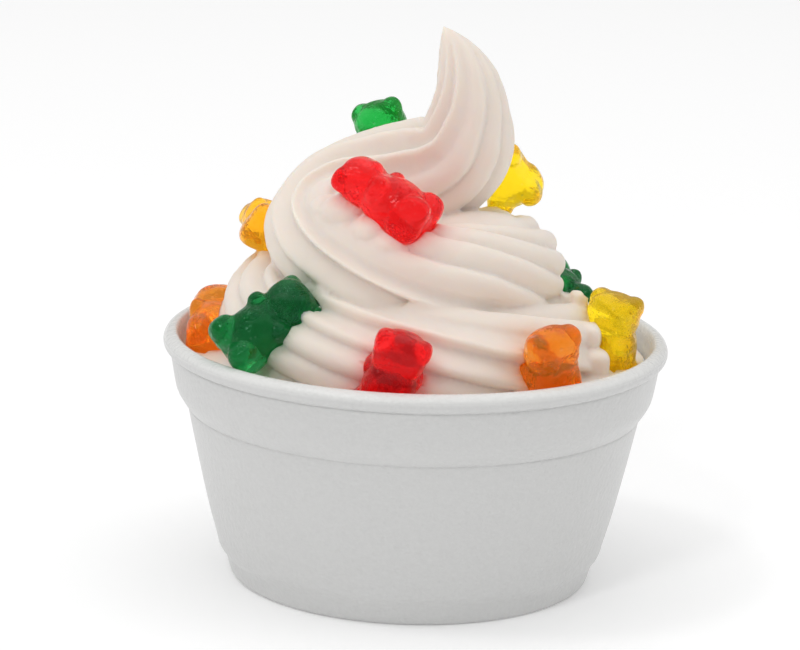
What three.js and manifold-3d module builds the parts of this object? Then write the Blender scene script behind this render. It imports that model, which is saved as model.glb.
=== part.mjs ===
// Frozen yogurt cup: a white foam cup, a ribbed frozen yogurt swirl and ten gummy bears.
// Millimetres, +Z up, the cup stands on z = 0 with its axis on the Z axis.
import * as THREE from 'three';
import { mergeVertices } from 'three/addons/utils/BufferGeometryUtils.js';
import Module from 'manifold-3d';

const wasm = await Module();
wasm.setup();

const RAD = Math.PI / 180;

// ---------------------------------------------------------------- sizes
const GAP = 0.3;                 // air between the yogurt and what it touches

// cup
const CUP_H = 44.3;              // top of the rim
const RIM_R = 45.0;              // widest radius, at the rolled rim
const FOOT_R = 32.1;             // radius of the flat foot
const RECESS_R = 28.6;           // raised middle of the underside
const RECESS_H = 0.8;
const FLOOR_H = 2.9;             // inside floor
const WALL_R0 = 33.0;            // inside wall radius at WALL_Z0
const WALL_Z0 = 8.0;
const WALL_SLOPE = 0.2592;       // inside wall, mm of radius per mm of height
const CUP_SEGMENTS = 48;

// yogurt
const LOBES = 11;                // ribs round the rope
const LOBE_DEPTH = 0.17;         // depth of the creases, share of the rope radius
const LOBE_POWER = 0.6;          // below 1: full ribs, narrow creases
// slant of the ribs: length of rope from the tip, slant there
const TWISTS = [
  [0, 0.31], [24, 0.31], [34, 0], [45, 0.31], [56, 0.62],
  [66, 0.31], [89, 0.31], [94, 0.7], [101, 0.7], [106, 0.31],
];
const TWIST_MIN_R = 3.0;         // the slant eases off where the rope is thinner
const PHASE = -0.12;             // turn of the ribs at the tip
// the ribs on one side of the rope slip round it sooner than the others, which makes them uneven
const SLIP = 0.257;              // radians
const SLIP_SIDE = [118, 147, 311, 344];   // that side in degrees: starts, fully, fully, ends
const SLIP_SOONER = [40, 64], SLIP_LATER = [92, 104];   // lengths of rope over which they slip
const LOBE_POINTS = 4;           // points across one rib
const FINE_STEPS = 60;           // steps along each row of the centre line
const TIP_LENGTH = 3.0;          // the pointed end of the rope
const RING_STEP = { tip: 1.5, inner: 3.2, outer: 6.6 };   // from ring to ring
const OUTER_COIL = 26.0;         // coil radius from which the rings are RING_STEP.outer apart
const LENGTH_RINGS = 9;          // rings in one closed length of rope
const FILL_H = 40.6;             // level of the yogurt at the cup wall
const FILL_SEGMENTS = 32;

// centre line of the tip and the bend under it: x, y, z, rope radius
const HORN = [
  [3.0, 0.0, 99.5, 0.0], [4.5, 0.0, 96.6, 2.4], [6.4, 0.0, 92.8, 4.5], [7.8, 0.3, 88.5, 6.1],
  [8.2, 1.0, 83.8, 7.4], [7.4, 2.3, 78.0, 9.1], [3.2, 4.8, 73.0, 10.1], [-5.0, 7.5, 69.6, 10.4],
  [-13.0, 5.5, 66.3, 10.6],
];
// the coils below it, every quarter turn from 180 degrees: coil radius, z, rope radius
const COIL = [
  [17.2, 63.0, 10.4], [17.0, 57.5, 10.5], [16.5, 56.0, 9.8], [20.5, 52.5, 10.0],
  [24.8, 47.3, 10.2], [26.0, 45.0, 10.6], [25.0, 42.0, 10.0], [28.4, 38.0, 10.8],
  [27.6, 32.0, 9.6], [27.0, 28.0, 9.4],
];
const COIL_FROM = 190, COIL_TO = 910, COIL_STEP = 40;

// gummy bear, 19.4 mm tall; y is its belly side, z its head: centre, radii
const BEAR_BODY = [
  [[0, 0, -2.2], [4.6, 4.2, 7.0]],     // trunk
  [[0, 1.4, -2.6], [4.0, 3.6, 4.4]],   // belly
  [[0, 0.2, 5.0], [4.5, 3.9, 3.9]],    // head
  [[0, 2.8, 4.3], [2.0, 1.8, 1.6]],    // snout
];
const BEAR_PAIRS = [
  [[3.3, -0.6, 7.2], [1.9, 2.3, 2.0]],   // ears
  [[3.6, 1.6, 0.8], [1.6, 2.7, 1.7]],    // arms
  [[3.0, 2.0, -6.7], [2.2, 3.1, 2.7]],   // feet
  [[2.8, -0.6, -6.0], [2.6, 3.1, 3.4]],  // hips
];
const BEAR_PARTS = [...BEAR_BODY, ...BEAR_PAIRS,
  ...BEAR_PAIRS.map(([c, r]) => [[-c[0], c[1], c[2]], r])];
const BEAR_POWER = 2.5;          // above 2: its parts are a little boxy
const BEAR_BACK = 3.4;           // the back is flat at y = -BEAR_BACK
const BEAR_BLEND = 0.35;         // how softly its parts run into each other
const BEAR_HALF = [5.6, 4.6, 9.6];   // half width, half depth, half height
const BEAR_FAR = 14.0;           // beyond every part of the bear
const BEAR_STEP = 0.25;          // steps in from there to its skin
const BEAR_SIDES = [16, 13];     // faces round it and from feet to head
const DENT_GROW = 0.4;           // the dent that it makes in the yogurt leaves GAP round it

// colours
const FOAM = 0xf4f4f2, YOGURT = 0xf1e8e0;
const RED = 0xd41a22, GREEN = 0x15703a, LIME = 0x3fae4a;
const ORANGE = 0xee7a1c, AMBER = 0xf6a01e, YELLOW = 0xf3c81e;

// where each bear sits: centre, way the belly faces, way the head points
const BEARS = {
  bear_lime_top: { at: [-5, 19.5, 74.5], face: [-0.3, -0.8, -0.5], up: [-0.5, -0.3, 0.8], color: LIME },
  bear_red_upper: { at: [-6.2, -18, 72], face: [0.48, -0.13, 0.87], up: [-0.8, 0.35, 0.5], color: RED },
  bear_yellow_back: {
    at: [13.9, 18.5, 71.8], face: [-0.1, -0.9, -0.3], up: [-0.5, -0.2, 0.8], color: YELLOW,
  },
  bear_amber_back: { at: [-27.2, 12, 59.4], face: [0.5, 0, 0.85], up: [-0.1, 1, 0], color: AMBER },
  bear_orange_left: { at: [-35.5, 3, 44], face: [0, -0.3, 0.95], up: [0, 0.95, 0.3], color: ORANGE },
  bear_green_front: { at: [-25.4, -23.2, 50.6], face: [-0.1, -0.8, 0.6], up: [0.8, 0.2, 0.6], color: GREEN },
  bear_red_front: { at: [-4, -37.5, 45], face: [0.1, 1, 0.2], up: [0.3, -0.2, 0.95], color: RED },
  bear_orange_front: {
    at: [23.7, -28.7, 44.4], face: [-0.5, 0.8, 0.2], up: [-0.1, -0.3, 0.95], color: ORANGE,
  },
  bear_yellow_right: { at: [34.5, -5.2, 45], face: [-0.5, -0.85, -0.1], up: [0.06, -0.15, 1], color: YELLOW },
  bear_green_back: { at: [24.3, 12.5, 50.2], face: [0.35, -0.2, 0.9], up: [-0.25, 0.95, 0.3], color: GREEN },
};

// ---------------------------------------------------------------- helpers
const lerp = (a, b, t) => a + (b - a) * t;

// uniform Catmull-Rom through rows of numbers
function curveAt(rows, t) {
  const n = rows.length;
  const i = Math.min(Math.max(Math.floor(t), 0), n - 2);
  const f = t - i;
  return rows[0].map((_, k) => {
    const p1 = rows[i][k], p2 = rows[i + 1][k];
    const p0 = i > 0 ? rows[i - 1][k] : 2 * p1 - p2;
    const p3 = i + 2 < n ? rows[i + 2][k] : 2 * p2 - p1;
    return 0.5 * (2 * p1 + (p2 - p0) * f + (2 * p0 - 5 * p1 + 4 * p2 - p3) * f * f
      + (3 * p1 - p0 - 3 * p2 + p3) * f * f * f);
  });
}

// 0 up to a, 1 from b, smooth between
function ease(a, b, x) {
  const t = Math.min(Math.max((x - a) / (b - a), 0), 1);
  return t * t * (3 - 2 * t);
}

function lathe(profile, segments) {
  const geo = new THREE.LatheGeometry(profile.map(([r, z]) => new THREE.Vector2(r, z)), segments);
  geo.rotateX(Math.PI / 2);
  return geo;
}

function toSolid(geo) {
  const bare = geo.clone();
  bare.deleteAttribute('normal');
  bare.deleteAttribute('uv');
  const g = mergeVertices(bare, 1e-4);
  const index = Array.from(g.index.array);
  const tri = [];
  for (let i = 0; i < index.length; i += 3) {
    const [a, b, c] = [index[i], index[i + 1], index[i + 2]];
    if (a !== b && b !== c && a !== c) tri.push(a, b, c);
  }
  const verts = new Float32Array(g.attributes.position.array);
  if (signedVolume(verts, tri) < 0) {
    for (let i = 0; i < tri.length; i += 3) [tri[i + 1], tri[i + 2]] = [tri[i + 2], tri[i + 1]];
  }
  const mesh = new wasm.Mesh({ numProp: 3, vertProperties: verts, triVerts: new Uint32Array(tri) });
  return new wasm.Manifold(mesh);
}

function signedVolume(v, tri) {
  let sum = 0;
  for (let i = 0; i < tri.length; i += 3) {
    const a = tri[i] * 3, b = tri[i + 1] * 3, c = tri[i + 2] * 3;
    sum += v[a] * (v[b + 1] * v[c + 2] - v[b + 2] * v[c + 1])
      - v[a + 1] * (v[b] * v[c + 2] - v[b + 2] * v[c])
      + v[a + 2] * (v[b] * v[c + 1] - v[b + 1] * v[c]);
  }
  return sum / 6;
}

// the largest outer shell only: closed-in pockets between the coils are filled
function outerShell(solid) {
  const mesh = solid.getMesh();
  const n = mesh.numProp;
  const count = mesh.vertProperties.length / n;
  const verts = new Float32Array(count * 3);
  for (let i = 0; i < count; i++) {
    for (let k = 0; k < 3; k++) verts[i * 3 + k] = mesh.vertProperties[i * n + k];
  }
  const owner = Array.from({ length: count }, (_, i) => i);
  const find = (i) => { while (owner[i] !== i) { owner[i] = owner[owner[i]]; i = owner[i]; } return i; };
  const tri = mesh.triVerts;
  for (let i = 0; i < tri.length; i += 3) {
    owner[find(tri[i])] = find(tri[i + 1]);
    owner[find(tri[i + 1])] = find(tri[i + 2]);
  }
  const shells = new Map();
  for (let i = 0; i < tri.length; i += 3) {
    const k = find(tri[i]);
    if (!shells.has(k)) shells.set(k, []);
    shells.get(k).push(tri[i], tri[i + 1], tri[i + 2]);
  }
  let best = null, size = 0;
  for (const list of shells.values()) {
    const v = signedVolume(verts, list);
    if (v > size) { size = v; best = list; }
  }
  const geo = new THREE.BufferGeometry();
  geo.setAttribute('position', new THREE.BufferAttribute(verts, 3));
  geo.setIndex(best);
  return geo;
}

// ---------------------------------------------------------------- cup
const wallAt = (z) => WALL_R0 + WALL_SLOPE * (z - WALL_Z0);

function cupGeometry() {
  const profile = [
    [0, RECESS_H], [RECESS_R, RECESS_H], [RECESS_R + 0.7, 0], [FOOT_R - 0.4, 0], [FOOT_R, 0.5],
    [33.25, 3.85], [34.35, 5.4], [35.0, 7.6],                    // step above the foot
    [36.2, 11.5], [38.3, 20.5], [40.5, 30.8],                  // body
    [41.9, 32.9], [42.6, 34.2], [42.9, 35.8], [43.8, 40.9],      // collar
    [44.2, 41.3], [44.8, 41.8], [RIM_R, 42.5], [44.8, 43.2],     // rolled rim
    [44.3, 43.8], [43.6, 44.2], [43.0, CUP_H], [42.6, 44.15],
    [wallAt(43.6), 43.6], [WALL_R0, WALL_Z0], [31.6, 4.8], [29.0, FLOOR_H], [0, FLOOR_H],
  ];
  return lathe(profile, CUP_SEGMENTS);
}

// ---------------------------------------------------------------- yogurt
function ropeRows() {
  const rows = HORN.map((r) => [...r]);
  for (let a = COIL_FROM; a <= COIL_TO + 1e-6; a += COIL_STEP) {
    const [rho, z, r] = curveAt(COIL, (a - 180) / 90);
    rows.push([rho * Math.cos(a * RAD), rho * Math.sin(a * RAD), z, r]);
  }
  return rows;
}

function slantAt(travelled) {
  const i = TWISTS.findIndex(([end]) => end > travelled);
  if (i < 0) return TWISTS[TWISTS.length - 1][1];
  const [[a, low], [b, high]] = [TWISTS[i - 1], TWISTS[i]];
  return lerp(low, high, (travelled - a) / (b - a));
}

function slipAt(phi, travelled) {
  const [start, full, fullTo, end] = SLIP_SIDE;
  const sooner = ease(start, full, phi / RAD) * (1 - ease(fullTo, end, phi / RAD));
  return SLIP * lerp(ease(...SLIP_LATER, travelled), ease(...SLIP_SOONER, travelled), sooner);
}

// rings of points round the rope, with the ribs turning about it
function ropeRings() {
  const rows = ropeRows();
  const fine = [];
  for (let i = 0; i <= (rows.length - 1) * FINE_STEPS; i++) fine.push(curveAt(rows, i / FINE_STEPS));
  const rings = [];
  const around = LOBES * LOBE_POINTS;
  const side = new THREE.Vector3(0, -1, 0);
  let turn = PHASE, since = 0, travelled = 0;
  for (let i = 0; i < fine.length; i++) {
    const p = new THREE.Vector3(...fine[i].slice(0, 3));
    const r = Math.max(fine[i][3], 0);
    const a = fine[Math.max(i - 1, 0)], b = fine[Math.min(i + 1, fine.length - 1)];
    const t = new THREE.Vector3(b[0] - a[0], b[1] - a[1], b[2] - a[2]).normalize();
    side.addScaledVector(t, -side.dot(t)).normalize();
    if (i > 0) {
      const step = p.distanceTo(new THREE.Vector3(...fine[i - 1].slice(0, 3)));
      turn += slantAt(travelled) * step / Math.max(r, TWIST_MIN_R);
      since += step;
      travelled += step;
    }
    const outer = Math.min(Math.hypot(p.x, p.y) / OUTER_COIL, 1);
    const wanted = travelled < TIP_LENGTH ? RING_STEP.tip : lerp(RING_STEP.inner, RING_STEP.outer, outer);
    const last = i === fine.length - 1;
    if (i > 0 && since < wanted && !last) continue;
    since = 0;
    const across = new THREE.Vector3().crossVectors(t, side);
    const ring = [];
    for (let j = 0; j < around; j++) {
      const phi = (j / around) * 2 * Math.PI;
      const rib = Math.abs(Math.cos(LOBES * phi / 2)) ** LOBE_POWER;
      const reach = r * (1 - LOBE_DEPTH + LOBE_DEPTH * rib);
      const angle = phi + turn + slipAt(phi, travelled);
      const v = p.clone().addScaledVector(side, reach * Math.cos(angle));
      ring.push(v.addScaledVector(across, reach * Math.sin(angle)));
    }
    rings.push({ centre: p, ring });
  }
  return rings;
}

// one closed length of rope from ring a to ring b
function ropeLength(rings, a, b) {
  const around = LOBES * LOBE_POINTS;
  const pos = [], idx = [];
  for (let i = a; i <= b; i++) for (const v of rings[i].ring) pos.push(v.x, v.y, v.z);
  const rows = b - a + 1;
  for (let i = 0; i + 1 < rows; i++) {
    for (let j = 0; j < around; j++) {
      const k = (j + 1) % around;
      const p = i * around + j, q = i * around + k, r = p + around, s = q + around;
      idx.push(p, r, q, q, r, s);
    }
  }
  const first = pos.length / 3;
  pos.push(rings[a].centre.x, rings[a].centre.y, rings[a].centre.z);
  pos.push(rings[b].centre.x, rings[b].centre.y, rings[b].centre.z);
  for (let j = 0; j < around; j++) {
    const k = (j + 1) % around, end = (rows - 1) * around;
    idx.push(first, j, k, first + 1, end + k, end + j);
  }
  const geo = new THREE.BufferGeometry();
  geo.setAttribute('position', new THREE.Float32BufferAttribute(pos, 3));
  geo.setIndex(idx);
  return geo;
}

function yogurtSolid() {
  const rings = ropeRings();
  let solid = null;
  for (let a = 0; a < rings.length - 1; a += LENGTH_RINGS) {
    const piece = toSolid(ropeLength(rings, a, Math.min(a + LENGTH_RINGS, rings.length - 1)));
    solid = solid ? solid.add(piece) : piece;
  }
  // what fills the cup, and the middle of the coils
  const fill = [
    [0, FLOOR_H + GAP], [28.8, FLOOR_H + GAP], [31.2, 5.0], [WALL_R0 - GAP, WALL_Z0],
    [wallAt(FILL_H - 0.8) - GAP, FILL_H - 0.8], [wallAt(FILL_H) - 1.2, FILL_H], [37.0, 40.9],
    [33.0, 41.6], [24.5, 44.0], [22.0, 48.0], [15.0, 54.0], [11.0, 60.0], [6.0, 66.0], [0, 69.0],
  ];
  return solid.add(toSolid(lathe(fill, FILL_SEGMENTS)));
}

// ---------------------------------------------------------------- bears
// signed distance, nearly, from a point to the skin of the bear: its rounded parts run
// into each other, and its back is flat
function bearField(x, y, z) {
  let sum = 0;
  for (const [c, r] of BEAR_PARTS) {
    const powers = [x, y, z].map((v, k) => Math.abs((v - c[k]) / r[k]) ** BEAR_POWER);
    const q = (powers[0] + powers[1] + powers[2]) ** (1 / BEAR_POWER);
    sum += Math.exp(-(q - 1) * Math.min(...r) / BEAR_BLEND);
  }
  const round = -Math.log(sum) * BEAR_BLEND;
  const flat = -BEAR_BACK - y;
  return Math.log(Math.exp(round / BEAR_BLEND) + Math.exp(flat / BEAR_BLEND)) * BEAR_BLEND;
}

// distance from the middle of the bear to its skin in direction d, grown by `grow`
function bearReach(d, grow) {
  const inside = (r) => bearField(d.x * r, d.y * r, d.z * r) < grow;
  let near = BEAR_FAR;
  while (near > 0 && !inside(near)) near -= BEAR_STEP;
  let far = near + BEAR_STEP;
  while (far - near > 1e-5) {
    const middle = (near + far) / 2;
    if (inside(middle)) near = middle;
    else far = middle;
  }
  return near;
}

function bearGeometry(grow) {
  const bare = new THREE.SphereGeometry(1, ...BEAR_SIDES);
  bare.rotateX(Math.PI / 2);
  bare.deleteAttribute('normal');
  bare.deleteAttribute('uv');
  const geo = mergeVertices(bare, 1e-4);
  const pos = geo.attributes.position;
  const d = new THREE.Vector3();
  for (let i = 0; i < pos.count; i++) {
    d.fromBufferAttribute(pos, i);
    d.set(d.x * BEAR_HALF[0], d.y * BEAR_HALF[1], d.z * BEAR_HALF[2]).normalize();
    d.multiplyScalar(bearReach(d, grow));
    pos.setXYZ(i, d.x, d.y, d.z);
  }
  return geo;
}

function placeOf({ at, face, up }) {
  const z = new THREE.Vector3(...up).normalize();
  const y = new THREE.Vector3(...face);
  y.addScaledVector(z, -y.dot(z)).normalize();
  const x = new THREE.Vector3().crossVectors(y, z);
  return new THREE.Matrix4().makeBasis(x, y, z).setPosition(...at);
}

// ---------------------------------------------------------------- the part
const group = new THREE.Group();
group.name = 'frozen_yogurt_cup';

function addPiece(name, geometry, color, roughness, place = new THREE.Matrix4()) {
  geometry.computeVertexNormals();
  const mesh = new THREE.Mesh(geometry, new THREE.MeshStandardMaterial({ name, color, roughness }));
  mesh.name = name;
  mesh.applyMatrix4(place);
  group.add(mesh);
}

addPiece('cup', cupGeometry(), FOAM, 0.75);

let yogurt = yogurtSolid();
const dent = bearGeometry(DENT_GROW);
for (const bear of Object.values(BEARS)) {
  yogurt = yogurt.subtract(toSolid(dent.clone().applyMatrix4(placeOf(bear))));
}
addPiece('swirl', outerShell(yogurt), YOGURT, 0.5);

for (const [name, bear] of Object.entries(BEARS)) {
  addPiece(name, bearGeometry(0), bear.color, 0.25, placeOf(bear));
}

export default group;
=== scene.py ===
import math

import bmesh
import bpy
import numpy as np
from bpy.props import FloatProperty, FloatVectorProperty, IntProperty, PointerProperty
from mathutils import Matrix, Vector, noise


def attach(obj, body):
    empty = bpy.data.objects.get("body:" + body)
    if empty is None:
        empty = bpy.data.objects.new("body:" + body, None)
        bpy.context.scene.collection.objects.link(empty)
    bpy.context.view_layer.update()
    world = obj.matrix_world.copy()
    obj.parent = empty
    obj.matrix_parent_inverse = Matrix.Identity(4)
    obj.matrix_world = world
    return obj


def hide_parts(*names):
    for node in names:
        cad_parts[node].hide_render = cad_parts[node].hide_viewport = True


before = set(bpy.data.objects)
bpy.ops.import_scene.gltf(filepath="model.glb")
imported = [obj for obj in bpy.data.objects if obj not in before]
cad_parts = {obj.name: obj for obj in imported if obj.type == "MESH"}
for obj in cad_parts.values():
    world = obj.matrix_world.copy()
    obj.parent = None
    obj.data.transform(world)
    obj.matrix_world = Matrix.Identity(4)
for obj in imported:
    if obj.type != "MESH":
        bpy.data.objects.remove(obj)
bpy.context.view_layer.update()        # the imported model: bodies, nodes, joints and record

bl_info = {
    "name": "Frozen yogurt cup",
    "version": (1, 0, 0),
    "blender": (4, 5, 0),
    "location": "3D View > Sidebar > Dessert",
    "description": "A foam cup of frozen yogurt with gummy bears, made piece by piece",
    "category": "Add Mesh",
}

MM = 0.001
BODY = "root"

# ------------------------------------------------------------------ sizes of the cup's inside
WALL_RADIUS, WALL_FOOT = 33.0, 8.0         # inside radius in mm at this height in mm
WALL_SLOPE = 0.2592                        # and how much it grows with each mm of height

# ------------------------------------------------------------------ shape of the yogurt
# the centre line of the yogurt's tip and the bend under it: x, y, z, rope radius, in mm
HORN = (
    (3.0, 0.0, 99.5, 0.0), (4.5, 0.0, 96.6, 2.4), (6.4, 0.0, 92.8, 4.5), (7.8, 0.3, 88.5, 6.1),
    (8.2, 1.0, 83.8, 7.4), (7.4, 2.3, 78.0, 9.1), (3.2, 4.8, 73.0, 10.1), (-5.0, 7.5, 69.6, 10.4),
    (-13.0, 5.5, 66.3, 10.6),
)
# the coils below it, every quarter turn from 180 degrees: coil radius, z, rope radius, in mm
COIL = (
    (17.2, 63.0, 10.4), (17.0, 57.5, 10.5), (16.5, 56.0, 9.8), (20.5, 52.5, 10.0),
    (24.8, 47.3, 10.2), (26.0, 45.0, 10.6), (25.0, 42.0, 10.0), (28.4, 38.0, 10.8),
    (27.6, 32.0, 9.6), (27.0, 28.0, 9.4),
)
COIL_ANGLES = range(190, 911, 40)          # degrees at which the rope's rows are taken from COIL
CURVE_STEPS = 60                           # steps on the centre line from row to row
TIP_RADIUS = 0.06                          # least radius of the rope, in mm
# slant of the ribs: length of rope from the tip in mm, slant there
TWISTS = (
    (0, 0.31), (24, 0.31), (34, 0.0), (45, 0.31), (56, 0.62),
    (66, 0.31), (89, 0.31), (94, 0.7), (101, 0.7), (106, 0.31),
)
FIRST_TURN = -0.12                         # turn of the ribs at the tip, in radians
TWIST_RADIUS = 3.0                         # a rope thinner than this, in mm, twists as one this thick
# the ribs on one side of the rope slip round it sooner than the others, which makes them uneven
SLIP = 0.257                               # radians
SLIP_SIDE = (118, 147, 311, 344)           # that side in degrees: starts, fully, fully, ends
SLIP_SOONER, SLIP_LATER = (40, 64), (92, 104)   # lengths of rope over which they slip, in mm
# each rib: where across it its crest is, and how deep the crease after it is
RIBS = (
    (0.78, 1.0), (0.62, 0.9), (0.5, 1.0), (0.45, 0.9), (0.55, 1.0), (0.5, 0.8),
    (0.55, 1.0), (0.45, 0.9), (0.34, 1.0), (0.38, 0.7), (0.82, 1.2),
)
RIB_FULLNESS = 0.6                         # 1: a rib is a half wave; less: rounder, with a sharper crease
# outline of the yogurt that fills the cup and the middle of the coils: radius and height in mm
FILL = (
    (0, 30.0), (38.5, 30.0), (41.2, 39.8), (40.6, 40.6), (37.0, 40.9), (33.0, 41.6), (24.5, 44.0),
    (22.0, 48.0), (15.0, 54.0), (11.0, 60.0), (6.0, 66.0), (0, 69.0),
)
# lumps of yogurt on it: centre and radii in mm, and how square they are (2: not at all)
LUMPS = (
    ((29.2, -12.6, 47.5), (3.0, 2.4, 2.4), 3.0),     # blunt ends of two ribs that broke off beside a bear
    ((30.4, -13.8, 42.8), (3.6, 2.8, 2.8), 3.0),
    ((11.0, -4.0, 64.0), (8.5, 6.5, 3.2), 2.0),      # where the foot of the tip runs out over the coil
    ((-15.4, -12.2, 68.8), (3.6, 3.6, 2.5), 2.0),    # under the upper red bear
    ((-13.0, -15.6, 69.0), (4.2, 3.8, 3.0), 2.0),
    ((-8.6, -19.8, 66.6), (3.4, 3.4, 2.8), 2.0),
    ((-5.0, -22.0, 65.0), (3.2, 3.0, 2.4), 2.0),
    ((-17.2, -18.8, 56.2), (1.8, 1.7, 1.4), 2.0),    # where the seam between two coils has closed
    ((-15.6, -20.7, 56.3), (2.0, 1.7, 1.2), 2.0),
    ((1.0, -26.1, 55.1), (3.4, 1.4, 1.1), 2.0),
)
# peaks where yogurt was pulled up: foot, tip, and radius at the foot and at the tip, in mm
PEAKS = (
    ((25.4, -4.2, 50.4), (26.2, -4.8, 53.0), 1.9, 0.6),      # these two make a torn flap
    ((27.8, -4.0, 50.0), (28.3, -4.6, 53.6), 2.0, 1.1),
    ((-9.4, 12.4, 76.0), (-8.2, 13.2, 78.4), 2.2, 0.4),
    ((-6.0, 12.6, 76.8), (-4.4, 13.0, 79.2), 2.2, 0.4),
)
UNEVEN = ((4.5, 0.16), (1.4, 0.05))        # unevenness of the skin: width and height of a wave, in mm
# small tears in the skin: both ends, half width and depth, in mm
TEARS = (
    ((-2.9, -25.5, 56.1), (1.2, -26.4, 55.3), 0.3, 0.35),
    ((12.6, -22.6, 55.7), (16.6, -21.2, 54.6), 0.3, 0.3),
    ((-18.4, -19.6, 57.0), (-14.6, -21.2, 55.6), 0.4, 0.3),
)
HIDDEN_BELOW = 34.0                        # the cup hides the yogurt below this height, in mm
WALL_GAP = 0.1                             # gap between that hidden part and the wall, in mm
# how the yogurt meets a bear
BEAR_REACH = 16.0                          # no yogurt further from a bear's middle feels it, in mm
WET = -0.05                                # pushed yogurt ends here, in mm from the skin: just inside it
PUSH_STEP, PUSH_STEPS = 0.1, 70            # it is pushed in steps of so many mm, and at most so often
LIP = 0.8                                  # yogurt nearer to a bear than this clings to it, in mm
SLOPE_STEP = 0.05                          # distance in mm over which a bear's field is sloped
DYE_AND_GLOW = ((0.45, 0.7), (0.1, 3.0))            # shares of tint the yogurt takes up near a bear, and how far, in mm: partly colour bled from the gummy, partly painted glow of light coloured by it

# ------------------------------------------------------------------ shape of the bears
# each bear: the node it stands for, its colour, centre in mm, way the belly faces, way the head points
BEARS = (
    ("bear_lime_top", "lime", (-5, 19.5, 74.5), (-0.3, -0.8, -0.5), (-0.5, -0.3, 0.8)),
    ("bear_red_upper", "red", (-6.2, -18, 72), (0.48, -0.13, 0.87), (-0.8, 0.35, 0.5)),
    ("bear_yellow_back", "yellow", (13.9, 18.5, 71.8), (-0.1, -0.9, -0.3), (-0.5, -0.2, 0.8)),
    ("bear_amber_back", "amber", (-27.2, 12, 59.4), (0.5, 0, 0.85), (-0.1, 1, 0)),
    ("bear_orange_left", "orange", (-35.5, 3, 44), (0, -0.3, 0.95), (0, 0.95, 0.3)),
    ("bear_green_front", "green", (-25.4, -23.2, 50.6), (-0.1, -0.8, 0.6), (0.8, 0.2, 0.6)),
    ("bear_red_front", "red", (-4, -37.5, 45), (0.1, 1, 0.2), (0.3, -0.2, 0.95)),
    ("bear_orange_front", "orange", (23.7, -28.7, 44.4), (-0.5, 0.8, 0.2), (-0.1, -0.3, 0.95)),
    ("bear_yellow_right", "yellow", (34.5, -5.2, 45), (-0.5, -0.85, -0.1), (0.06, -0.15, 1)),
    ("bear_green_back", "green", (24.3, 12.5, 50.2), (0.35, -0.2, 0.9), (-0.25, 0.95, 0.3)),
)
# the rounded parts of a bear in mm: +Y is its belly side, +Z its head; centre and radii
BEAR_BODY = (
    ((0, 0, -2.2), (4.6, 4.2, 7.0)),       # trunk
    ((0, 1.4, -2.6), (4.0, 3.6, 4.4)),     # belly
    ((0, 0.2, 5.0), (4.7, 3.9, 4.1)),      # head
    ((0, 2.8, 4.3), (2.0, 1.8, 1.6)),      # snout
)
BEAR_PAIRS = (
    ((3.2, -0.6, 7.0), (1.8, 2.3, 2.0)),   # ears
    ((3.6, 1.6, 0.8), (1.6, 2.7, 1.7)),    # arms
    ((3.0, 2.0, -6.7), (2.2, 3.1, 2.7)),   # feet
    ((2.8, -0.6, -6.0), (2.6, 3.1, 3.4)),  # hips
)
BEAR_POWER = 2.5                           # above 2: its parts are a little boxy
BEAR_BLEND = 0.35                          # how softly its parts run into each other, in mm
BEAR_BACK = 3.4                            # the flat back is at y = -BEAR_BACK
BACK_SUNK = 0.6                            # depth of the sunk middle of the back, in mm
BACK_EDGE = (0.8, 1.3)                     # how far in from the outline it starts and ends sinking, in mm
BACK_ROUND = 0.25                          # rounding of the edge between the back and the sides, in mm

# ------------------------------------------------------------------ studio
# the lights: name, place and size in metres, and power in watts
LIGHTS = (
    ("overhead", (0.1, 0.05, 1.8), 2.4, 15.0),
    ("overhead_left", (-0.75, -0.3, 1.6), 0.3, 2.4),
    ("key", (-0.3, -0.7, 0.65), 0.15, 1.1),
    ("side_right", (1.2, 0.2, 0.5), 0.8, 1.2),
    ("side_left", (-1.2, 0.2, 0.5), 0.8, 0.8),
)
LIGHTS_AIM = (0, 0, 0.05)
ROOM_LIGHT = 0.52                          # strength of the even light from all round
FLOOR_GLOW = 0.14                          # strength of the light table's own light


# ------------------------------------------------------------------ what a user would change
def linear(code):
    """An sRGB hex colour as linear RGBA."""
    parts = [int(code[i:i + 2], 16) / 255 for i in (0, 2, 4)]
    return tuple(p / 12.92 if p <= 0.04045 else ((p + 0.055) / 1.055) ** 2.4 for p in parts) + (1.0,)


def colour_property(name, description, code):
    """A colour that a user can change, which starts from an sRGB hex colour."""
    return FloatVectorProperty(
        name=name, description=description, subtype="COLOR", size=4, default=linear(code), min=0, max=1)


class FoamCupSettings(bpy.types.PropertyGroup):
    """Sizes and colours of the foam cup."""
    height: FloatProperty(
        name="Height", description="From the foot to the top of the rim", default=0.0443, unit="LENGTH")
    rim_radius: FloatProperty(
        name="Rim radius", description="Widest radius, at the rolled rim", default=0.045, unit="LENGTH")
    foot_radius: FloatProperty(
        name="Foot radius", description="Radius of the flat foot", default=0.0321, unit="LENGTH")
    bead: FloatProperty(
        name="Bead size", description="Foam bead width after moulding", default=0.0009, unit="LENGTH")
    # the rim colour is painted sheen: the foam made lighter where the top of the rim catches the light
    rim_sheen_colour: colour_property("Rim colour", "Colour of the smooth skin on the rim", "e4e4e2")
    colour: colour_property("Foam colour", "Colour of the foam", "d2d2d1")


class YogurtSettings(bpy.types.PropertyGroup):
    """Shape and colour of the frozen yogurt."""
    rib_points: IntProperty(name="Rib points", description="Points across one rib", default=12, min=4)
    rib_depth: FloatProperty(
        name="Rib depth", description="Depth of the creases, as a share of the rope's radius",
        default=0.18, min=0, max=0.5, subtype="FACTOR")
    ring_step: FloatProperty(
        name="Ring spacing", description="Length of rope from ring to ring", default=0.0009, unit="LENGTH")
    voxel: FloatProperty(
        name="Voxel size", description="Size at which the coils are fused", default=0.00038, unit="LENGTH")
    faces_kept: FloatProperty(
        name="Faces kept", description="Share of the fused faces that is kept", default=0.56, min=0.1,
        max=1, subtype="FACTOR")
    colour: colour_property("Yogurt colour", "Colour of the yogurt", "ebe1d7")


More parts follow.
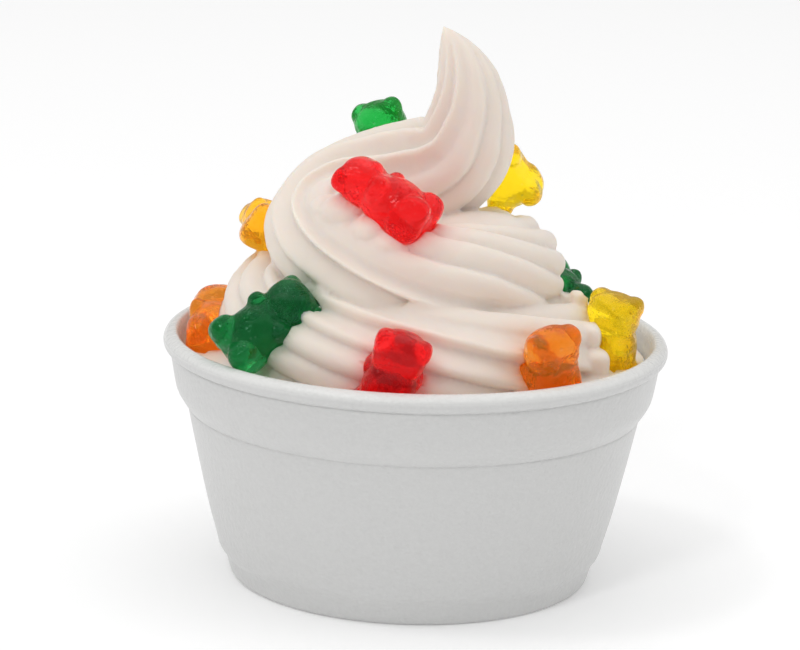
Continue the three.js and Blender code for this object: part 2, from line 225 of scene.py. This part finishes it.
class BearSettings(bpy.types.PropertyGroup):
    """Fineness and colours of the gummy bears."""
    voxel: FloatProperty(
        name="Voxel size", description="Size at which a bear's parts are fused", default=0.0003,
        unit="LENGTH")
    red: colour_property("Red", "Colour of the red gelatine", "ff181c")
    green: colour_property("Green", "Colour of the dark green gelatine", "0e8238")
    lime: colour_property("Lime", "Colour of the light green gelatine", "12a834")
    orange: colour_property("Orange", "Colour of the orange gelatine", "ff981e")
    amber: colour_property("Amber", "Colour of the amber gelatine", "ffbc1c")
    yellow: colour_property("Yellow", "Colour of the yellow gelatine", "ffd80e")


class StageSettings(bpy.types.PropertyGroup):
    """Floor and camera."""
    lens: FloatProperty(name="Lens", description="Focal length in mm", default=156.08, unit="CAMERA")
    distance: FloatProperty(
        name="Camera distance", description="From the cup's axis to the camera", default=0.6, unit="LENGTH")
    camera_height: FloatProperty(
        name="Camera height", description="Above the floor", default=0.193416, unit="LENGTH")
    pitch: FloatProperty(
        name="Pitch", description="How far the camera looks down", default=0.2419, subtype="ANGLE")
    roll: FloatProperty(name="Roll", description="Turn about the view line", default=0.0309, subtype="ANGLE")
    yaw: FloatProperty(name="Yaw", description="Turn to the side", default=0.0048, subtype="ANGLE")
    floor_colour: colour_property("Floor colour", "Colour of the floor", "f6f6f6")


# ------------------------------------------------------------------ helpers for materials and pieces
def add(tree, kind, inputs=None, **settings):
    """Adds a node, gives it its settings, and sets or links its sockets."""
    made = tree.nodes.new(kind)
    for name, value in settings.items():
        setattr(made, name, value)
    for key, value in (inputs or {}).items():
        if isinstance(value, bpy.types.NodeSocket):
            tree.links.new(value, made.inputs[key])
        else:
            made.inputs[key].default_value = value
    return made


def new_material(name):
    """An empty node material, with its tree and its output node."""
    material = bpy.data.materials.new(name)
    material.use_nodes = True
    tree = material.node_tree
    tree.nodes.clear()
    return material, tree, tree.nodes.new("ShaderNodeOutputMaterial")


def finish_piece(name, bm, material, node):
    """Turns a bmesh into a smooth piece that rides on the cup and stands for a CAD node."""
    mesh = bpy.data.meshes.new(name)
    bm.to_mesh(mesh)
    bm.free()
    mesh.shade_smooth()
    mesh.materials.append(material)
    piece = bpy.data.objects.new(name, mesh)
    bpy.context.scene.collection.objects.link(piece)
    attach(piece, BODY)
    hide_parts(node)
    return piece


# ------------------------------------------------------------------ helpers for shapes
def turned(bm, profile, steps):
    """Adds a profile of radii and heights in mm, turned about the upright axis."""
    points = [bm.verts.new((r * MM, 0, z * MM)) for r, z in profile]
    lines = [bm.edges.new(pair) for pair in zip(points, points[1:])]
    bmesh.ops.spin(
        bm, geom=points + lines, cent=(0, 0, 0), axis=(0, 0, 1), angle=math.tau, steps=steps,
        use_merge=True)


def add_rounded(bm, centre, radii, power):
    """Adds a ball with its own radii in mm, which gets boxier as power goes above 2."""
    ball = bmesh.ops.create_icosphere(bm, subdivisions=4, radius=1.0)["verts"]
    for v in ball:
        v.co /= sum(abs(c) ** power for c in v.co) ** (1 / power)
    place = Matrix.Translation(Vector(centre) * MM) @ Matrix.Diagonal((*[r * MM for r in radii], 1))
    bmesh.ops.transform(bm, matrix=place, verts=ball)


def close_skin(bm):
    """Merges doubles and turns the faces outwards."""
    bmesh.ops.remove_doubles(bm, verts=bm.verts, dist=1e-6)
    bmesh.ops.recalc_face_normals(bm, faces=bm.faces)


def fused(bm, voxel, keep=1.0):
    """The bmesh as one closed skin, made by a voxel remesh, with a share of its faces kept."""
    mesh = bpy.data.meshes.new("fusing")
    bm.to_mesh(mesh)
    bm.free()
    rough = bpy.data.objects.new("fusing", mesh)
    bpy.context.scene.collection.objects.link(rough)
    remesh = rough.modifiers.new("Remesh", "REMESH")
    remesh.mode = "VOXEL"
    remesh.voxel_size = voxel
    remesh.adaptivity = 0.0
    if keep < 1:
        thin = rough.modifiers.new("Decimate", "DECIMATE")
        thin.ratio = keep
    graph = bpy.context.evaluated_depsgraph_get()
    whole = bpy.data.meshes.new_from_object(rough.evaluated_get(graph))
    out = bmesh.new()
    out.from_mesh(whole)
    bpy.data.objects.remove(rough)
    bpy.data.meshes.remove(mesh)
    bpy.data.meshes.remove(whole)
    return out


def smooth(bm, factor, rounds):
    """Smooths a whole bmesh a number of times."""
    for _ in range(rounds):
        bmesh.ops.smooth_vert(
            bm, verts=bm.verts, factor=factor, use_axis_x=True, use_axis_y=True, use_axis_z=True)


def points_of(bm):
    """The places of a bmesh's vertices, in mm."""
    return np.array([v.co for v in bm.verts]) / MM


def move_points(bm, points):
    """Moves a bmesh's vertices to places in mm."""
    for v, point in zip(bm.verts, points):
        v.co = Vector(point) * MM


def ease(a, b, x):
    """0 up to a, 1 from b, smooth between."""
    t = np.clip((x - a) / (b - a), 0, 1)
    return t * t * (3 - 2 * t)


def curve_at(rows, t):
    """A point on the uniform Catmull-Rom curve through rows of numbers."""
    i = min(max(int(t), 0), len(rows) - 2)
    f = t - i
    p1, p2 = np.array(rows[i]), np.array(rows[i + 1])
    p0 = np.array(rows[i - 1]) if i > 0 else 2 * p1 - p2
    p3 = np.array(rows[i + 2]) if i + 2 < len(rows) else 2 * p2 - p1
    return 0.5 * (2 * p1 + (p2 - p0) * f + (2 * p0 - 5 * p1 + 4 * p2 - p3) * f ** 2
                  + (3 * p1 - p0 - 3 * p2 + p3) * f ** 3)


# ------------------------------------------------------------------ cup
def wall_at(z):
    """Inside radius of the cup in mm at height z in mm."""
    return WALL_RADIUS + WALL_SLOPE * (z - WALL_FOOT)


def foam_material(settings):
    """Expanded polystyrene foam, steam moulded: dull white, finely mottled by its beads."""
    material, tree, out = new_material("Expanded polystyrene foam, steam moulded")
    coords = add(tree, "ShaderNodeTexCoord").outputs["Object"]
    cells = 1 / settings.bead
    beads = add(tree, "ShaderNodeTexVoronoi", {"Vector": coords, "Scale": cells}, feature="SMOOTH_F1")
    grain = add(tree, "ShaderNodeTexNoise", {"Vector": coords, "Scale": 2.0 * cells, "Detail": 3.0})
    mottle = add(tree, "ShaderNodeTexNoise", {"Vector": coords, "Scale": 1.2 * cells, "Detail": 2.0})
    tone = add(tree, "ShaderNodeMapRange", {
        "Value": mottle.outputs["Fac"], "From Min": 0.3, "From Max": 0.7, "To Min": 0.97, "To Max": 1.0})
    # the beads on top of the rolled rim are fused into a smoother, glossier skin; the lighter colour mixed in
    # there is painted sheen, for the light that the top of the rim catches
    height = add(tree, "ShaderNodeSeparateXYZ", {"Vector": coords}).outputs["Z"]
    rim = {"Value": height, "From Min": settings.height - 1.9 * MM, "From Max": settings.height - 0.8 * MM}
    painted_rim_sheen = add(tree, "ShaderNodeMapRange", rim)
    gloss = add(tree, "ShaderNodeMapRange", {**rim, "To Min": 0.34, "To Max": 0.2})
    # the foam's colour, made lighter towards the top of the rim by painted sheen
    foam = add(tree, "ShaderNodeMix", {
        "Factor": painted_rim_sheen.outputs["Result"], "A": tuple(settings.colour), "B": tuple(settings.rim_sheen_colour)},
        data_type="RGBA")
    colour = add(tree, "ShaderNodeMix", {
        "Factor": 1.0, "A": foam.outputs["Result"], "B": tone.outputs["Result"]},
        data_type="RGBA", blend_type="MULTIPLY")
    low = add(tree, "ShaderNodeBump", {
        "Height": beads.outputs["Distance"], "Strength": 0.5, "Distance": 0.00026})
    fine = add(tree, "ShaderNodeBump", {
        "Height": grain.outputs["Fac"], "Strength": 0.5, "Distance": 0.0002, "Normal": low.outputs["Normal"]})
    shader = add(tree, "ShaderNodeBsdfPrincipled", {
        "Base Color": colour.outputs["Result"], "Roughness": gloss.outputs["Result"], "IOR": 1.45,
        "Specular IOR Level": 0.5, "Normal": fine.outputs["Normal"]})
    tree.links.new(shader.outputs["BSDF"], out.inputs["Surface"])
    return material


class DESSERT_OT_foam_cup(bpy.types.Operator):
    """Make the foam cup"""
    bl_idname = "dessert.foam_cup"
    bl_label = "Foam cup"

    def execute(self, context):
        s = context.scene.foam_cup
        rim, foot, top = s.rim_radius / MM, s.foot_radius / MM, s.height / MM
        profile = (
            (0, 0.8), (foot - 4.5, 0.8), (foot - 3.5, 0.8), (foot - 2.8, 0), (foot - 0.7, 0),
            (foot, 0.15), (foot + 0.35, 0.8), (33.2, 3.7), (33.5, 4.2), (34.2, 5.0), (34.6, 5.6),
            (35.0, 7.6), (36.2, 11.5), (38.3, 20.5), (40.3, 29.9), (40.42, 30.6),
            (40.3, 30.8), (40.36, 30.9), (40.7, 31.1),                    # crease under the collar
            (41.9, 32.9), (42.6, 34.2), (42.9, 35.8), (43.6, 40.0), (43.72, 40.75),
            (43.6, 40.92), (43.66, 41.02), (44.2, 41.2),                  # crease under the rim
            (44.7, 41.5), (rim - 0.06, 42.1), (rim, 42.7), (44.75, 43.4), (44.3, 43.9), (43.6, top - 0.08),
            (43.0, top), (42.6, top - 0.15), (wall_at(43.6), 43.5), (wall_at(42), 42.0),
            (wall_at(20), 20.0), (WALL_RADIUS, WALL_FOOT), (31.6, 4.8), (29.0, 2.9), (0, 2.9),
        )
        bm = bmesh.new()
        turned(bm, profile, 72)
        close_skin(bm)
        cup = finish_piece("foam_cup", bm, foam_material(s), "cup")
        subdivision = cup.modifiers.new("Subdivision", "SUBSURF")
        subdivision.levels = subdivision.render_levels = 2
        return {"FINISHED"}


# ------------------------------------------------------------------ bears
def bear_frame(at, face, up):
    """Where a bear's own axes go: its middle, its belly side and its head."""
    z = Vector(up).normalized()
    y = Vector(face)
    y = (y - z * y.dot(z)).normalized()
    x = y.cross(z)
    place = Matrix((x, y, z)).transposed().to_4x4()
    place.translation = Vector(at) * MM
    return place


def bear_parts():
    """All the rounded parts of a bear, with the paired ones on both sides."""
    parts = list(BEAR_BODY) + list(BEAR_PAIRS)
    return parts + [((-c[0], c[1], c[2]), r) for c, r in BEAR_PAIRS]


def bear_body_field(points):
    """Nearly the distance in mm to a bear's skin before its back is cut flat, less than 0 inside."""
    total = np.full(len(points), 1e-30)    # keeps the logarithm of a far point finite
    for centre, radii in bear_parts():
        q = (np.abs((points - np.array(centre)) / radii) ** BEAR_POWER).sum(1) ** (1 / BEAR_POWER)
        total += np.exp(-(q - 1) * min(radii) / BEAR_BLEND)
    return -BEAR_BLEND * np.log(total)


def bear_field(points):
    """Nearly the distance in mm from points in a bear's own axes to its skin, less than 0 inside."""
    return np.maximum(bear_body_field(points), -BEAR_BACK - points[:, 1])


def bear_bmesh(voxel):
    """A whole bear about its own middle."""
    bm = bmesh.new()
    for centre, radii in bear_parts():
        add_rounded(bm, centre, radii, BEAR_POWER)
    bm = fused(bm, voxel)
    smooth(bm, 0.5, 5)
    points = points_of(bm)
    flat = points.copy()
    flat[:, 1] = -BEAR_BACK
    inward = -bear_body_field(flat)
    # the back set open to the air in its mould: a flat face, sunk inside a rounded edge
    low = -BEAR_BACK + BACK_SUNK * ease(*BACK_EDGE, inward) - points[:, 1]
    points[:, 1] += 0.5 * (low + np.hypot(low, BACK_ROUND))
    move_points(bm, points)
    smooth(bm, 0.5, 2)
    return bm


def gummy_material(name, colour):
    """Gelatine gummy, cast in starch: see-through, deeper in colour where it is thick, with a wet shine."""
    material, tree, out = new_material(name)
    coords = add(tree, "ShaderNodeTexCoord").outputs["Object"]
    # ripples about 3 mm wide, and an air bubble of about 0.3 mm in some of the cells, 0.9 mm wide
    ripple = add(tree, "ShaderNodeTexNoise", {"Vector": coords, "Scale": 330.0, "Detail": 3.0})
    bubbles = add(tree, "ShaderNodeTexVoronoi", {"Vector": coords, "Scale": 1100.0})
    rare = add(tree, "ShaderNodeMath", {
        0: bubbles.outputs["Color"], 1: 0.7, 2: bubbles.outputs["Distance"]}, operation="MULTIPLY_ADD")
    dot = add(tree, "ShaderNodeMapRange", {
        "Value": rare.outputs["Value"], "From Min": 0.33, "From Max": 0.43, "To Min": 0.6, "To Max": 0.0})
    soft = add(tree, "ShaderNodeBump", {
        "Height": ripple.outputs["Fac"], "Strength": 0.8, "Distance": 0.0009})
    skin = add(tree, "ShaderNodeBump", {
        "Height": dot.outputs["Result"], "Strength": 0.6, "Distance": 0.0002,
        "Normal": soft.outputs["Normal"]})
    tint = tuple(c ** 0.58 for c in colour[:3]) + (1.0,)     # light is tinted as it enters and leaves
    pale = tuple(c ** 0.2 for c in colour[:3]) + (1.0,)      # and a little more with each mm between
    # the faint emission stands for light that bounces inside more often than a render follows it
    specks = add(tree, "ShaderNodeMix", {
        "Factor": dot.outputs["Result"], "A": tint, "B": pale}, data_type="RGBA")
    shader = add(tree, "ShaderNodeBsdfPrincipled", {
        "Base Color": specks.outputs["Result"], "Roughness": 0.1, "IOR": 1.36, "Specular IOR Level": 0.3,
        "Specular Tint": pale, "Transmission Weight": 0.9, "Subsurface Weight": 1.0,
        "Subsurface Radius": (1.0, 1.0, 1.0), "Subsurface Scale": 0.003,
        "Emission Color": tuple(colour), "Emission Strength": 0.08, "Normal": skin.outputs["Normal"]})
    depth = add(tree, "ShaderNodeVolumeAbsorption", {"Color": pale, "Density": 190.0})
    tree.links.new(shader.outputs["BSDF"], out.inputs["Surface"])
    tree.links.new(depth.outputs["Volume"], out.inputs["Volume"])
    return material


class DESSERT_OT_gummy_bears(bpy.types.Operator):
    """Make the ten gummy bears"""
    bl_idname = "dessert.gummy_bears"
    bl_label = "Gummy bears"

    def execute(self, context):
        s = context.scene.gummy_bears
        materials = {}
        bear = bear_bmesh(s.voxel)
        for node, kind, at, face, up in BEARS:
            if kind not in materials:
                materials[kind] = gummy_material(f"Gelatine gummy, starch moulded, {kind}", getattr(s, kind))
            bm = bear.copy()
            bmesh.ops.transform(bm, matrix=bear_frame(at, face, up), verts=bm.verts)
            finish_piece(node.replace("bear", "gummy"), bm, materials[kind], node)
        bear.free()
        return {"FINISHED"}


# ------------------------------------------------------------------ yogurt
def slip_at(phi, travelled):
    """How far the ribs at angle phi have slipped round the rope, in radians."""
    start, full, full_to, end = SLIP_SIDE
    degrees = np.degrees(phi)
    sooner = ease(start, full, degrees) * (1 - ease(full_to, end, degrees))
    return SLIP * (sooner * ease(*SLIP_SOONER, travelled) + (1 - sooner) * ease(*SLIP_LATER, travelled))


def rib_reach(phi, depth):
    """How far out the rope's skin is at angle phi, as a share of its radius."""
    ribs = len(RIBS)
    turns = ribs * phi / math.tau + 0.5
    rib = np.floor(turns).astype(int) % ribs
    across = turns - np.floor(turns)
    peak = np.array([peak for peak, _ in RIBS])[rib]
    after = np.array([share for _, share in RIBS])
    crease = after[rib - 1] * (1 - across) + after[rib] * across
    # the power puts the top of the half wave at the rib's crest
    full = np.sin(math.pi * across ** (math.log(0.5) / np.log(peak))) ** RIB_FULLNESS
    return 1 - depth * crease * (1 - full)


def rope_rows():
    """Rows of the rope's centre line and radius, from the tip down."""
    rows = list(HORN)
    for angle in COIL_ANGLES:
        rho, z, r = curve_at(COIL, (angle - 180) / 90)
        a = math.radians(angle)
        rows.append((rho * math.cos(a), rho * math.sin(a), z, r))
    return rows


def rope_rings(settings):
    """The rings of the rope: centre, its two directions across, radius, turn and length so far, in mm."""
    rows = rope_rows()
    fine = [curve_at(rows, i / CURVE_STEPS) for i in range((len(rows) - 1) * CURVE_STEPS + 1)]
    side = Vector((0, -1, 0))
    turn, since, travelled = FIRST_TURN, 0.0, 0.0
    lengths, slants = zip(*TWISTS)
    rings = []
    for i, point in enumerate(fine):
        centre, radius = Vector(point[:3]), max(point[3], TIP_RADIUS)
        ahead, behind = fine[min(i + 1, len(fine) - 1)], fine[max(i - 1, 0)]
        along = Vector(ahead[:3] - behind[:3]).normalized()
        side = (side - along * side.dot(along)).normalized()
        if i:
            step = (centre - Vector(fine[i - 1][:3])).length
            turn += np.interp(travelled, lengths, slants) * step / max(radius, TWIST_RADIUS)
            since += step
            travelled += step
        if i and since < settings.ring_step / MM and i < len(fine) - 1:
            continue
        since = 0.0
        rings.append((centre, side.copy(), along.cross(side), radius, turn, travelled))
    return rings


def place_ring(verts, layer, reach, ring):
    """Moves one ring of vertices to where the rope has it."""
    centre, side, across, radius, turn, travelled = ring
    for v in verts:
        index = v[layer]
        phi = index * math.tau / len(reach)
        angle = phi + turn + slip_at(phi, travelled)
        out = side * math.cos(angle) + across * math.sin(angle)
        v.co = (centre + out * radius * reach[index]) * MM


def draw_rope(bm, settings):
    """Draws a ribbed ring out along the rope's centre line, and closes both of its ends."""
    around = len(RIBS) * settings.rib_points
    layer = bm.verts.layers.int.new("index")
    verts = bmesh.ops.create_circle(bm, segments=around, radius=1.0)["verts"]
    for i, v in enumerate(verts):
        v[layer] = i
    edges = list(bm.edges)
    reach = rib_reach(np.arange(around) * math.tau / around, settings.rib_depth)
    rings = rope_rings(settings)
    place_ring(verts, layer, reach, rings[0])
    bmesh.ops.edgeloop_fill(bm, edges=edges)
    for ring in rings[1:]:
        made = bmesh.ops.extrude_edge_only(bm, edges=edges)["geom"]
        edges = [g for g in made if isinstance(g, bmesh.types.BMEdge) and len(g.link_faces) == 1]
        verts = [g for g in made if isinstance(g, bmesh.types.BMVert)]
        place_ring(verts, layer, reach, ring)
    bmesh.ops.edgeloop_fill(bm, edges=edges)


def add_peak(bm, foot, tip, foot_radius, tip_radius):
    """Adds a peak of pulled yogurt from its foot to its tip, all in mm."""
    foot, tip = Vector(foot) * MM, Vector(tip) * MM
    turn = (tip - foot).to_track_quat("Z", "Y").to_matrix().to_4x4()
    bmesh.ops.create_cone(
        bm, cap_ends=True, segments=24, radius1=foot_radius * MM, radius2=tip_radius * MM,
        depth=(tip - foot).length, matrix=Matrix.Translation((foot + tip) / 2) @ turn)


def roughen(bm):
    """Takes the evenness out of the yogurt's skin and opens the small tears in it."""
    tears = [(Vector(start), Vector(end), width, depth) for start, end, width, depth in TEARS]
    bm.normal_update()
    for v in bm.verts:
        p = v.co / MM
        if p.z < HIDDEN_BELOW:
            continue
        move = sum(size * noise.noise(p / wave) for wave, size in UNEVEN)
        for start, end, width, depth in tears:
            near = max(0.0, min(1.0, (p - start).dot(end - start) / (end - start).length_squared))
            away = (p - start.lerp(end, near)).length
            if away < 3 * width:
                move -= depth * math.exp(-(away / width) ** 2)
        v.co += v.normal * move * MM


def press_bears(bm):
    """Pushes the yogurt in where a bear sits, and returns the tint each vertex gets near the bears: partly
    colour bled from them, partly painted glow of the light they colour.
    """
    bm.normal_update()
    points = points_of(bm)
    inward = -np.array([v.normal for v in bm.verts])
    dye = np.ones((len(points), 3))
    colours = bpy.context.scene.gummy_bears
    for _, kind, at, face, up in BEARS:
        back = np.array(bear_frame(at, face, up).inverted())
        turn, shift = back[:3, :3], back[:3, 3] / MM
        near = np.where(np.linalg.norm(points - at, axis=1) < BEAR_REACH)[0]
        own = points[near] @ turn.T + shift                  # the same points in the bear's own axes
        step = inward[near] @ turn.T
        moved = np.zeros(len(near))
        field = bear_field(own)
        for _ in range(PUSH_STEPS):
            inside = bear_field(own + step * moved[:, None]) < WET
            if not inside.any():
                break
            moved[inside] += PUSH_STEP
        own += step * moved[:, None]
        # what is left close to the bear is drawn onto it, so that no slit stays open round it
        gap = bear_field(own)
        slope = np.stack([bear_field(own + axis) for axis in SLOPE_STEP * np.eye(3)], 1) - gap[:, None]
        slope /= np.maximum(np.linalg.norm(slope, axis=1), 1e-6)[:, None]
        close = (gap > WET) & (gap < LIP)
        own[close] -= slope[close] * (gap - WET)[close, None]
        points[near] = (own - shift) @ turn
        # the tint near a bear is partly its colour bled into the yogurt and partly painted glow of light
        # shining through the gummy
        away = np.maximum(field, 0)[:, None]
        share = sum(part * np.exp(-away / reach) for part, reach in DYE_AND_GLOW)
        dye[near] *= 1 - share * (1 - np.array(getattr(colours, kind)[:3]))
    move_points(bm, points)
    return dye


def redraw_hidden(bm):
    """Draws the yogurt anew from HIDDEN_BELOW down, where the cup hides it, with far fewer faces."""
    bmesh.ops.bisect_plane(
        bm, geom=list(bm.verts) + list(bm.edges) + list(bm.faces), plane_co=(0, 0, HIDDEN_BELOW * MM),
        plane_no=(0, 0, 1), clear_inner=True)
    edges = [e for e in bm.edges if e.is_boundary]
    # rings down along the cup's wall, round its foot, and in to one point on its floor
    rings = [(z, wall_at(z) - WALL_GAP) for z in (28.0, 18.0, 8.0)]
    for z, radius in rings + [(5.0, 31.2), (3.2, 28.8), (3.2, 0.0)]:
        made = bmesh.ops.extrude_edge_only(bm, edges=edges)["geom"]
        edges = [g for g in made if isinstance(g, bmesh.types.BMEdge) and g.is_boundary]
        for v in made:
            if isinstance(v, bmesh.types.BMVert):
                v.co = Vector((v.co.x, v.co.y, 0)).normalized() * radius * MM
                v.co.z = z * MM
    bmesh.ops.remove_doubles(bm, verts=[v for v in bm.verts if v.co.z < 3.3 * MM], dist=1e-6)
    bmesh.ops.recalc_face_normals(bm, faces=bm.faces)


def yogurt_bmesh(settings):
    """The rope, the fill of the cup under it and the bits of yogurt on it, as one skin with bears in it."""
    bm = bmesh.new()
    draw_rope(bm, settings)
    turned(bm, FILL, 96)
    for lump in LUMPS:
        add_rounded(bm, *lump)
    for peak in PEAKS:
        add_peak(bm, *peak)
    close_skin(bm)
    bm = fused(bm, settings.voxel, settings.faces_kept)
    smooth(bm, 0.4, 1)
    roughen(bm)
    dye = press_bears(bm)
    # the tint, part bled colour and part painted coloured glow, is kept on the vertices
    layer = bm.verts.layers.float_color.new("dye")
    for v, colour in zip(bm.verts, dye):
        v[layer] = (*colour, 1.0)
    redraw_hidden(bm)
    return bm


def yogurt_material(settings):
    """Soft serve frozen yogurt: off-white and moist, with soft creases, as light goes a little way in."""
    material, tree, out = new_material("Soft serve frozen yogurt")
    coords = add(tree, "ShaderNodeTexCoord").outputs["Object"]
    # its ice crystals are far finer than a pixel, so they are drawn as a faint grain of 0.7 mm
    crystals = add(tree, "ShaderNodeTexNoise", {"Vector": coords, "Scale": 1400.0, "Detail": 3.0})
    fine = add(tree, "ShaderNodeBump", {
        "Height": crystals.outputs["Fac"], "Strength": 0.2, "Distance": 0.00012})
    # multiplied into the colour: the tint near the bears, part bled colour and part painted glow of light
    # through them
    dye = add(tree, "ShaderNodeAttribute", attribute_name="dye")
    colour = add(tree, "ShaderNodeMix", {
        "Factor": 1.0, "A": tuple(settings.colour), "B": dye.outputs["Color"]},
        data_type="RGBA", blend_type="MULTIPLY")
    shader = add(tree, "ShaderNodeBsdfPrincipled", {
        "Base Color": colour.outputs["Result"], "Roughness": 0.5, "IOR": 1.36,
        "Subsurface Weight": 0.8, "Subsurface Radius": (1.0, 0.8, 0.6), "Subsurface Scale": 0.0018,
        "Normal": fine.outputs["Normal"]})
    tree.links.new(shader.outputs["BSDF"], out.inputs["Surface"])
    return material


class DESSERT_OT_yogurt_swirl(bpy.types.Operator):
    """Make the swirl of frozen yogurt"""
    bl_idname = "dessert.yogurt_swirl"
    bl_label = "Yogurt swirl"

    def execute(self, context):
        s = context.scene.frozen_yogurt
        finish_piece("yogurt_swirl", yogurt_bmesh(s), yogurt_material(s), "swirl")
        return {"FINISHED"}


# ------------------------------------------------------------------ stage
def floor_material(settings):
    """White acrylic light table, cast: matt and even, and a little lit from below."""
    material, tree, out = new_material("Acrylic light table, cast")
    shader = add(tree, "ShaderNodeBsdfPrincipled", {
        "Base Color": tuple(settings.floor_colour), "Roughness": 0.9, "Specular IOR Level": 0.2,
        "Emission Color": (1.0, 1.0, 1.0, 1.0), "Emission Strength": FLOOR_GLOW})
    tree.links.new(shader.outputs["BSDF"], out.inputs["Surface"])
    return material


def lay_floor(settings):
    """The floor, 8 m across, which is not part of the cup."""
    bm = bmesh.new()
    bmesh.ops.create_grid(bm, x_segments=1, y_segments=1, size=4.0)
    mesh = bpy.data.meshes.new("floor")
    bm.to_mesh(mesh)
    bm.free()
    mesh.materials.append(floor_material(settings))
    floor = bpy.data.objects.new("floor", mesh)
    bpy.context.scene.collection.objects.link(floor)


def set_lights(scene):
    """The even light of a white room, and soft square lights that look at the cup."""
    world = bpy.data.worlds.new("studio")
    world.use_nodes = True
    back = world.node_tree.nodes["Background"]
    back.inputs["Color"].default_value = (1.0, 1.0, 1.0, 1.0)
    back.inputs["Strength"].default_value = ROOM_LIGHT
    scene.world = world
    for name, place, size, power in LIGHTS:
        data = bpy.data.lights.new(name, "AREA")
        data.size = size
        data.energy = power
        light = bpy.data.objects.new(name, data)
        scene.collection.objects.link(light)
        light.location = place
        light.rotation_euler = (Vector(LIGHTS_AIM) - Vector(place)).to_track_quat("-Z", "Y").to_euler()


def place_camera(scene, settings):
    """The camera, in front of the cup and looking a little down on it."""
    data = bpy.data.cameras.new("camera")
    data.lens = settings.lens
    data.sensor_width = 36.0
    data.clip_end = 20.0
    camera = bpy.data.objects.new("camera", data)
    scene.collection.objects.link(camera)
    turn = (Matrix.Rotation(settings.yaw, 4, "Z") @ Matrix.Rotation(math.pi / 2 - settings.pitch, 4, "X")
            @ Matrix.Rotation(settings.roll, 4, "Z"))
    camera.matrix_world = Matrix.Translation((0, -settings.distance, settings.camera_height)) @ turn
    scene.camera = camera


class DESSERT_OT_stage(bpy.types.Operator):
    """Lay the floor, set the lights and place the camera"""
    bl_idname = "dessert.stage"
    bl_label = "Floor, light and camera"

    def execute(self, context):
        s = context.scene.dessert_stage
        lay_floor(s)
        set_lights(context.scene)
        place_camera(context.scene, s)
        context.scene.view_settings.view_transform = "Standard"
        return {"FINISHED"}


# ------------------------------------------------------------------ add-on
class DESSERT_PT_panel(bpy.types.Panel):
    """Lists the pieces that can be made"""
    bl_idname = "DESSERT_PT_panel"
    bl_label = "Frozen yogurt cup"
    bl_space_type = "VIEW_3D"
    bl_region_type = "UI"
    bl_category = "Dessert"

    def draw(self, context):
        layout = self.layout
        for operator in OPERATORS:
            layout.operator(operator.bl_idname)
        for name in SETTINGS:
            group = getattr(context.scene, name)
            box = layout.box()
            for prop in group.bl_rna.properties:
                if prop.identifier not in {"rna_type", "name"}:
                    box.prop(group, prop.identifier)


OPERATORS = (DESSERT_OT_foam_cup, DESSERT_OT_yogurt_swirl, DESSERT_OT_gummy_bears, DESSERT_OT_stage)
SETTINGS = {
    "foam_cup": FoamCupSettings,
    "frozen_yogurt": YogurtSettings,
    "gummy_bears": BearSettings,
    "dessert_stage": StageSettings,
}


def register():
    for name, group in SETTINGS.items():
        bpy.utils.register_class(group)
        setattr(bpy.types.Scene, name, PointerProperty(type=group))
    for cls in (*OPERATORS, DESSERT_PT_panel):
        bpy.utils.register_class(cls)


def unregister():
    for cls in (DESSERT_PT_panel, *reversed(OPERATORS)):
        bpy.utils.unregister_class(cls)
    for name, group in SETTINGS.items():
        delattr(bpy.types.Scene, name)
        bpy.utils.unregister_class(group)


def main():
    """Makes the pieces and the stage."""
    register()
    bpy.ops.dessert.foam_cup()
    bpy.ops.dessert.yogurt_swirl()
    bpy.ops.dessert.gummy_bears()
    bpy.ops.dessert.stage()


if __name__ == "__main__":
    main()
